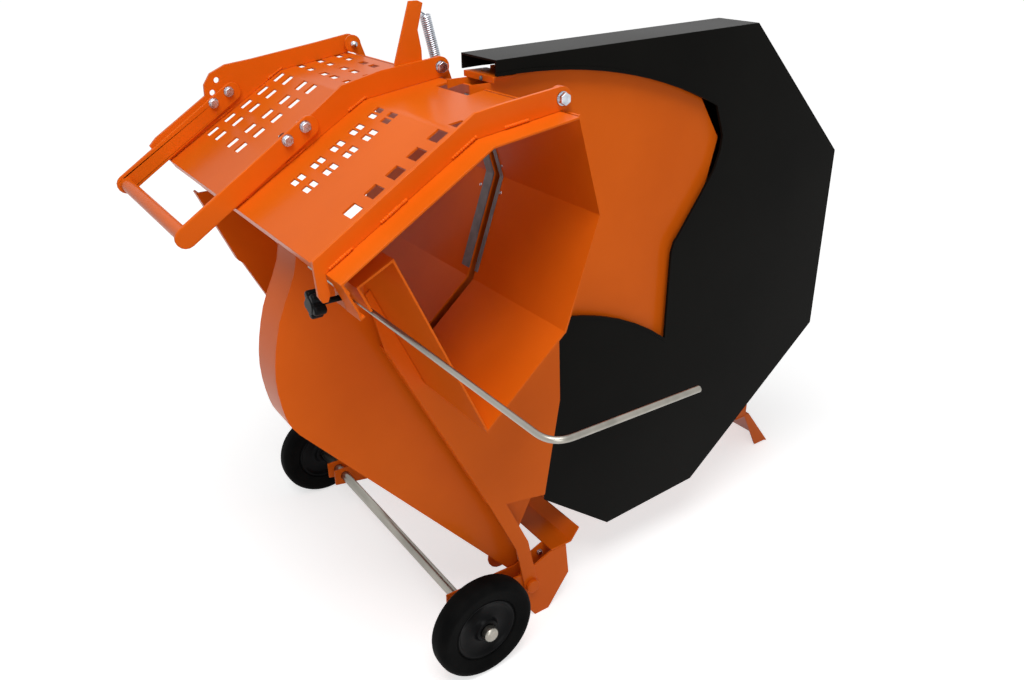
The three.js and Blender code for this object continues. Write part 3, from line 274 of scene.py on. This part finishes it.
def roundedCopy(nodeName, width):
    shape = bmesh.new()
    shape.from_mesh(nodes[nodeName].data)
    bmesh.ops.remove_doubles(shape, verts=shape.verts, dist=roundedEdges["merge"] * mm)
    piece = makePiece(nodeName + "_rounded", shape, slotOf[nodeName], bodyOf[nodeName], [nodeName],
                      smooth=False)
    piece.data.shade_smooth()
    rounding = piece.modifiers.new("rounded edges", "BEVEL")
    rounding.width = width * mm
    rounding.segments = roundedEdges["steps"]
    rounding.limit_method = "ANGLE"
    rounding.angle_limit = math.radians(roundedEdges["sharp"])
    rounding.miter_outer = "MITER_ARC"
    rounding.use_clamp_overlap = True
    evenShading(piece)


for nodeName, width in roundedEdges["widths"].items():
    roundedCopy(nodeName, width)
print("rounded", len(roundedEdges["widths"]), "nodes")


def turnedTo(direction, place):
    turn = Vector((0.0, 0.0, 1.0)).rotation_difference(direction).to_matrix().to_4x4()
    return Matrix.Translation(place) @ turn


# A revolved piece about the machine's cross axis from (radius, station) points.
def spun(profile, centre, steps):
    shape = bmesh.new()
    points = [shape.verts.new(centre + Vector((0.0, y, radius)) * mm) for radius, y in profile]
    rim = [shape.edges.new(pair) for pair in zip(points, points[1:] + points[:1])]
    bmesh.ops.spin(shape, geom=points + rim, cent=centre, axis=toDrive, angle=math.tau, steps=steps,
                   use_merge=True)
    bmesh.ops.remove_doubles(shape, verts=shape.verts, dist=mergeDistance)
    bmesh.ops.recalc_face_normals(shape, faces=shape.faces)
    return shape


# Wheels: a solid rubber tyre with rounded shoulders on a dished hub.
wheels = {
    "steps": 72, "radius": 100,
    "tyre": [(62.3, 8), (66, 6), (74, 4.5), (82, 2.2), (88, 1.4), (93, 3.2), (97, 7), (99.2, 12), (99.8, 18),
             (99.8, 28), (99.2, 34), (97, 39), (93, 42.8), (88, 44.6), (82, 43.8), (74, 41.5), (66, 40),
             (62.3, 38)],
    "hub": [(10.5, 4.2), (19, 4.2), (22, 6), (23.5, 14), (30, 16), (40, 16.5), (50, 15.5), (55, 12.5),
            (57, 9), (62, 8), (62, 38), (57, 37), (55, 33.5), (50, 30.5), (40, 29.5), (30, 30), (23.5, 32),
            (22, 40), (19, 41.8), (10.5, 41.8)],
    "rows": {"near": -148, "far": 557},
}


def buildWheels():
    for side, row in wheels["rows"].items():
        centre = spot(0, row, wheels["radius"])
        for part, slot in (("tyre", "tyre_rubber"), ("hub", "black_plastic")):
            shape = spun(wheels[part], centre, wheels["steps"])
            makePiece(f"{side}_{part}_turned", shape, slot, f"wheel_{side}", [f"{side}_{part}"])


buildWheels()
print("wheels")

# Axle with its pressed steel caps, the far one a little shorter.
axle = {"radius": 10, "steps": 48, "near": -144.5, "far": 599.4, "farCapShare": 0.89,
        "cap": [(0, -15.6), (9, -15.4), (12.4, -13.6), (14.6, -10), (14.8, -1.2), (14.8, 0)]}


def buildAxle():
    near, far = axle["near"], axle["far"]
    profile = [(radius, near + y) for radius, y in axle["cap"]]
    profile += [(axle["radius"], near), (axle["radius"], far)]
    profile += [(radius, far - y * axle["farCapShare"]) for radius, y in reversed(axle["cap"])]
    shape = bmesh.new()
    centre = spot(0, 0, wheels["radius"])
    points = [shape.verts.new(centre + Vector((0.0, y, radius)) * mm) for radius, y in profile]
    line = [shape.edges.new(pair) for pair in zip(points, points[1:])]
    bmesh.ops.spin(shape, geom=points + line, cent=centre, axis=toDrive, angle=math.tau,
                   steps=axle["steps"], use_merge=True)
    bmesh.ops.remove_doubles(shape, verts=shape.verts, dist=mergeDistance)
    makePiece("wheel_axle_turned", shape, "bright_steel", "frame", ["wheel_axle"])


buildAxle()

# Hexagon heads and nuts, each on a washer.
boltSizes = {
    "hinge": {"across": 15, "height": 6.5, "washer": 9.6, "washerHeight": 1.6},
    "handle": {"across": 13, "height": 5.5, "washer": 9.0, "washerHeight": 1.6},
    "small": {"across": 10, "height": 4.0, "washer": 6.5, "washerHeight": 1.0},
    "tab": {"across": 5.5, "height": 2.0, "washer": 3.6, "washerHeight": 0.6},
}
boltEdge = {"rounding": 0.9, "steps": 3, "washerSides": 32, "washerChamfer": 0.5}


def addHead(shape, size):
    corner = size["across"] / math.sqrt(3) * mm
    head = bmesh.ops.create_cone(shape, cap_ends=True, segments=6, radius1=corner, radius2=corner,
                                 depth=size["height"] * mm)["verts"]
    lift = (size["height"] / 2 + size["washerHeight"]) * mm
    bmesh.ops.translate(shape, verts=head, vec=(0, 0, lift))
    edges = list({edge for vert in head for edge in vert.link_edges})
    bmesh.ops.bevel(shape, geom=edges, offset=boltEdge["rounding"] * mm, segments=boltEdge["steps"],
                    profile=0.5, affect="EDGES", material=-1, clamp_overlap=True)
    washer = bmesh.ops.create_cone(shape, cap_ends=True, segments=boltEdge["washerSides"],
                                   radius1=size["washer"] * mm,
                                   radius2=(size["washer"] - boltEdge["washerChamfer"]) * mm,
                                   depth=size["washerHeight"] * mm)["verts"]
    bmesh.ops.translate(shape, verts=washer, vec=(0, 0, size["washerHeight"] / 2 * mm))


def boltHead(name, size, place, direction, body, slot="zinc_steel"):
    shape = bmesh.new()
    addHead(shape, boltSizes[size])
    bmesh.ops.transform(shape, matrix=turnedTo(direction, place), verts=shape.verts)
    makePiece(name, shape, slot, body)


# The hinge bolts: a head on the rib and a shank through rib and ear, by their seat, way and length.
hinge = {"x": 84, "z": 1048, "shank": 4.9, "shankSides": 24,
         "bolts": {"near": (-229.3, -1, 25), "mid": (81.7, -1, 25), "far": (419.3, 1, 33)}}


def buildHingeBolts():
    size = boltSizes["hinge"]
    radius = hinge["shank"] * mm
    for side, (seat, way, length) in hinge["bolts"].items():
        shape = bmesh.new()
        addHead(shape, size)
        shank = bmesh.ops.create_cone(shape, cap_ends=True, segments=hinge["shankSides"], radius1=radius,
                                      radius2=radius, depth=length * mm)["verts"]
        bmesh.ops.translate(shape, verts=shank, vec=(0, 0, -length / 2 * mm))
        place = spot(hinge["x"], seat, hinge["z"])
        bmesh.ops.transform(shape, matrix=turnedTo(toDrive * way, place), verts=shape.verts)
        makePiece(f"hinge_bolt_{side}_hexagon", shape, "zinc_steel", "rocker", [f"hinge_bolt_{side}"])


buildHingeBolts()

# Two bolts hold each arm of the hood's handle, with nuts behind the rib.
handleBolts = {"places": [(-152, 988), (-181, 972)], "near": 75.7, "far": 406.7, "nearNut": 88,
               "farNut": 419}


def buildHandleBolts():
    for side in ("near", "far"):
        for index, (x, z) in enumerate(handleBolts["places"], start=1):
            head = spot(x, handleBolts[side], z)
            nut = spot(x, handleBolts[side + "Nut"], z)
            boltHead(f"handle_bolt_{side}_{index}", "handle", head, toOperator, "hood")
            boltHead(f"handle_nut_{side}_{index}", "handle", nut, toDrive, "hood")


buildHandleBolts()

# Small round heads beside the slot's strips, by their place, the sheet's own direction and the radius.
lowFace = Vector((-0.943, 0.0, 0.333))
highFace = Vector((-0.960, 0.0, -0.282))
roundHeads = {
    "around": 20, "rings": 12, "flatness": 0.55,
    "heads": {
        "far_low": (spot(124.6, 37.6, 862.3), lowFace, 3.0),
        "near_low": (spot(124.5, -20.0, 862.0), lowFace, 3.0),
        "near_high": (spot(127.4, -20.8, 905.0), highFace, 2.6),
        "far_high": (spot(122.0, 35.0, 923.5), highFace, 2.6),
    },
}


def buildRoundHeads():
    for name, (place, direction, radius) in roundHeads["heads"].items():
        shape = bmesh.new()
        dome = bmesh.ops.create_uvsphere(shape, u_segments=roundHeads["around"],
                                         v_segments=roundHeads["rings"], radius=radius * mm)["verts"]
        bmesh.ops.scale(shape, vec=(1.0, 1.0, roundHeads["flatness"]), verts=dome)
        bmesh.ops.transform(shape, matrix=turnedTo(direction, place), verts=shape.verts)
        makePiece(f"strip_screw_{name}", shape, "zinc_steel", "rocker")


buildRoundHeads()

# One bolt at the near foot, and one on the mouth's tab.
toWheels = Vector((-1.0, 0.0, 0.0))
singleBolts = {
    "foot_bolt": ("small", spot(188.6, -42, 121.7), toOperator, "frame", "zinc_steel"),
    "tab_bolt": ("tab", spot(96.9, -14, 1042.6), toWheels, "rocker", "cast_grey"),
}
for boltName, (size, place, direction, body, slot) in singleBolts.items():
    boltHead(boltName, size, place, direction, body, slot)
print("bolts")

# Clamp knob: a hub with five rounded lobes on its screw.
knob = {"centre": (-268.2, -185, 830), "hub": 12.5, "lobe": 6.6, "reach": 12.6, "length": 17, "lobes": 5,
        "hubShare": 1.12, "sides": 28, "rounding": 3.2, "steps": 5, "screw": 3.9, "screwSides": 20,
        "screwFrom": -260, "screwTo": -225.7}


def buildKnob():
    shape = bmesh.new()
    along = Matrix.Rotation(math.pi / 2, 4, "Y")
    centre = Matrix.Translation(spot(*knob["centre"]))
    for index in range(knob["lobes"] + 1):
        lobe = index < knob["lobes"]
        radius = knob["lobe"] if lobe else knob["hub"]
        angle = math.tau * index / knob["lobes"]
        reach = Vector((math.cos(angle), math.sin(angle), 0.0)) * (knob["reach"] if lobe else 0.0) * mm
        length = knob["length"] * (1.0 if lobe else knob["hubShare"])
        drum = bmesh.ops.create_cone(shape, cap_ends=True, segments=knob["sides"], radius1=radius * mm,
                                     radius2=radius * mm, depth=length * mm)["verts"]
        bmesh.ops.translate(shape, vec=reach, verts=drum)
        rims = list({edge for vert in drum for edge in vert.link_edges
                     if any(len(face.verts) > 4 for face in edge.link_faces)})
        bmesh.ops.bevel(shape, geom=rims, offset=knob["rounding"] * mm, segments=knob["steps"], profile=0.5,
                        affect="EDGES", material=-1, clamp_overlap=True)
    bmesh.ops.transform(shape, matrix=centre @ along, verts=shape.verts)
    length = knob["screwTo"] - knob["screwFrom"]
    screw = bmesh.ops.create_cone(shape, cap_ends=True, segments=knob["screwSides"],
                                  radius1=knob["screw"] * mm, radius2=knob["screw"] * mm,
                                  depth=length * mm)["verts"]
    middle = spot((knob["screwTo"] + knob["screwFrom"]) / 2, *knob["centre"][1:])
    bmesh.ops.transform(shape, matrix=Matrix.Translation(middle) @ along, verts=screw)
    makePiece("clamp_knob_star", shape, "black_plastic", "clamp_knob", ["clamp_knob"])


buildKnob()

# Weld beads: short rippled runs in the corner between hood sheet and rib, by their ends and the rib's row.
welds = {
    "radius": 2.6, "fineness": 2, "ripple": 3.2, "least": 3, "smallest": 0.85, "growth": 0.3,
    "hood": [
        ((-52, 1016.5), (-86, 996), -229), ((-155, 954.5), (-190, 933.5), -229),
        ((-232, 908.5), (-262, 890.5), -229), ((-6, 1022.5), (28, 1027), -229),
        ((-52, 1016.5), (-80, 999.6), -223), ((-160, 951.5), (-188, 934.7), -223),
        ((-236, 906), (-258, 893), -223), ((-50, 1016.5), (-78, 1001), 82), ((-156, 954), (-184, 937), 82),
        ((-240, 903.6), (-262, 890.4), 82), ((-50, 1016.5), (-76, 1002), 413),
        ((-150, 957.5), (-176, 942), 413),
    ],
}


def weldBead(name, start, end, body):
    run = end - start
    count = max(welds["least"], round(run.length / (welds["ripple"] * mm)))
    shape = bmesh.new()
    for i in range(count):
        blob = bmesh.ops.create_icosphere(shape, subdivisions=welds["fineness"],
                                          radius=welds["radius"] * mm)["verts"]
        size = welds["smallest"] + welds["growth"] * random.random()
        bmesh.ops.scale(shape, vec=(size, size, size), verts=blob)
        bmesh.ops.translate(shape, vec=start + run * (i / (count - 1)), verts=blob)
    makePiece(name, shape, "orange_powder_coat", body)


for index, ((x0, z0), (x1, z1), row) in enumerate(welds["hood"], start=1):
    weldBead(f"hood_weld_{index}", spot(x0, row, z0), spot(x1, row, z1), "hood")
print("welds")

# Counterbalance spring: a close coil between two hooked ends.
spring = {"radius": 7.6, "wire": 1.3, "turns": 22, "sides": 8, "turnSteps": 20, "merge": 0.001, "row": 105,
          "eye": 3.6, "eyeSteps": 24, "upper": (52.5, 1138.5), "lower": (97.5, 1038),
          "coilTop": (72.5, 1124), "coilFoot": (88.5, 1058)}


def buildSpring():
    top, foot = [spot(spring[end][0], spring["row"], spring[end][1]) for end in ("coilTop", "coilFoot")]
    run = foot - top
    along = run.normalized()
    outward = along.orthogonal().normalized()
    shape = bmesh.new()
    ring = bmesh.ops.create_circle(shape, segments=spring["sides"], radius=spring["wire"] * mm)["verts"]
    across = along.cross(outward)
    seat = Matrix((outward, along, across)).transposed().to_4x4()
    start = Matrix.Translation(top + outward * spring["radius"] * mm)
    bmesh.ops.transform(shape, matrix=start @ seat, verts=ring)
    edges = list({edge for vert in ring for edge in vert.link_edges})
    steps = spring["turns"] * spring["turnSteps"]
    bmesh.ops.spin(shape, geom=ring + edges, cent=top, axis=along, dvec=run / steps,
                   angle=math.tau * spring["turns"], steps=steps, use_merge=False)
    bmesh.ops.remove_doubles(shape, verts=shape.verts, dist=spring["merge"] * mm)
    for (x, z), coilEnd in ((spring["upper"], top), (spring["lower"], foot)):
        addHook(shape, spot(x, spring["row"], z), coilEnd)
    piece = makePiece("hood_spring_coil", shape, "zinc_steel", None, ["hood_spring"], smooth=False)
    piece.data.shade_smooth()
    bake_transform(piece)


def addHook(shape, pin, coilEnd):
    reach = coilEnd - pin
    radius = spring["eye"] * mm
    eye = bmesh.ops.create_circle(shape, segments=spring["sides"], radius=spring["wire"] * mm)["verts"]
    bmesh.ops.translate(shape, vec=pin + Vector((radius, 0, 0)), verts=eye)
    edges = list({edge for vert in eye for edge in vert.link_edges})
    bmesh.ops.spin(shape, geom=eye + edges, cent=pin, axis=toDrive, angle=math.tau,
                   steps=spring["eyeSteps"], use_merge=True)
    neck = bmesh.ops.create_cone(shape, cap_ends=True, segments=spring["sides"],
                                 radius1=spring["wire"] * mm, radius2=spring["wire"] * mm,
                                 depth=reach.length - radius)["verts"]
    middle = pin + reach * (0.5 + 0.5 * radius / reach.length)
    bmesh.ops.transform(shape, matrix=turnedTo(reach.normalized(), middle), verts=neck)


buildSpring()
print("spring")

# Camera at the photograph's place.
camera = {"location": (-0.9801, -1.1647, 1.2827), "right": (0.82125, -0.57050, -0.00890),
          "up": (0.25946, 0.35953, 0.89633), "lens": 31.37, "sensor": 36.0, "nearest": 0.05}


def placeCamera():
    lens = bpy.data.cameras.new("studio camera")
    lens.lens = camera["lens"]
    lens.sensor_width = camera["sensor"]
    lens.clip_start = camera["nearest"]
    holder = bpy.data.objects.new("studio camera", lens)
    bpy.context.scene.collection.objects.link(holder)
    right, up = Vector(camera["right"]), Vector(camera["up"])
    turn = Matrix((right, up, right.cross(up))).transposed().to_4x4()
    holder.matrix_world = Matrix.Translation(camera["location"]) @ turn
    bpy.context.scene.camera = holder


placeCamera()

# Studio: a pale floor with a painted glow that keeps the shadow, soft lamps overhead, white where the camera
# looks past.
studio = {"floorRadius": 40, "floorSides": 64, "floorColour": 0.80, "ambient": 0.21,
          "lift": {"near": 0.62, "far": 0.86, "from": 0.9, "to": 2.6},
          "lamps": [((-0.9, -0.9, 3.1), (0.0, 0.0, 0.5), 1.8, 56),
                    ((-1.6, -3.0, 1.5), (0.0, 0.0, 0.6), 1.8, 24)]}


def brightRays(surface):
    path = {name: surface.node("ShaderNodeLightPath", output=index)
            for name, index in (("camera", 0), ("glossy", 3), ("transmission", 6))}
    return path["camera"] + path["glossy"] + path["transmission"]


def buildFloor():
    shape = bmesh.new()
    bmesh.ops.create_circle(shape, cap_ends=True, segments=studio["floorSides"],
                            radius=studio["floorRadius"])
    mesh = bpy.data.meshes.new("studio floor")
    shape.to_mesh(mesh)
    shape.free()
    floor = bpy.data.objects.new("studio_floor", mesh)
    bpy.context.scene.collection.objects.link(floor)
    level = studio["floorColour"]
    surface = Surface("studio floor", {"Roughness": 0.9, "Specular IOR Level": 0.0,
                                       "Base Color": (level, level, level, 1.0)})
    seen = surface.node("ShaderNodeMath", {"operation": "MINIMUM"}, {0: brightRays(surface), 1: 1.0})
    # Painted glow on the floor for camera, glossy and transmission rays: dimmer near the machine so its
    # shadow shows, brighter far off.
    lift = studio["lift"]
    place = surface.node("ShaderNodeTexCoord", output=3)
    distance = surface.node("ShaderNodeVectorMath", {"operation": "LENGTH"}, {0: place}, output=1)
    paintedGlowLevel = surface.node("ShaderNodeMapRange", {}, {0: distance, 1: lift["from"], 2: lift["to"],
                                                       3: lift["near"], 4: lift["far"]})
    glow = surface.node("ShaderNodeEmission", {}, {"Color": paintedGlowLevel, "Strength": seen})
    output = surface.tree.nodes["Material Output"]
    both = surface.node("ShaderNodeAddShader", {}, {0: Value(surface, surface.shader.outputs[0]), 1: glow})
    surface.tree.links.new(both.socket, output.inputs["Surface"])
    mesh.materials.append(surface.material)


buildFloor()


def buildWorld():
    world = bpy.data.worlds.new("studio")
    world.use_nodes = True
    bpy.context.scene.world = world
    surface = Wiring(world.node_tree)
    background = world.node_tree.nodes["Background"]
    background.inputs["Color"].default_value = (1.0, 1.0, 1.0, 1.0)
    seen = surface.node("ShaderNodeMath", {"operation": "MINIMUM"}, {0: brightRays(surface), 1: 1.0})
    strength = seen * (1.0 - studio["ambient"]) + studio["ambient"]
    world.node_tree.links.new(strength.socket, background.inputs["Strength"])


buildWorld()


def placeLamps():
    for index, (place, target, size, power) in enumerate(studio["lamps"], start=1):
        lamp = bpy.data.lights.new(f"soft lamp {index}", "AREA")
        lamp.shape = "DISK"
        lamp.size = size
        lamp.energy = power
        holder = bpy.data.objects.new(lamp.name, lamp)
        bpy.context.scene.collection.objects.link(holder)
        aim = (Vector(target) - Vector(place)).to_track_quat("-Z", "Y")
        holder.matrix_world = Matrix.Translation(place) @ aim.to_matrix().to_4x4()


placeLamps()
bpy.context.scene.view_settings.view_transform = "Standard"
print("studio")
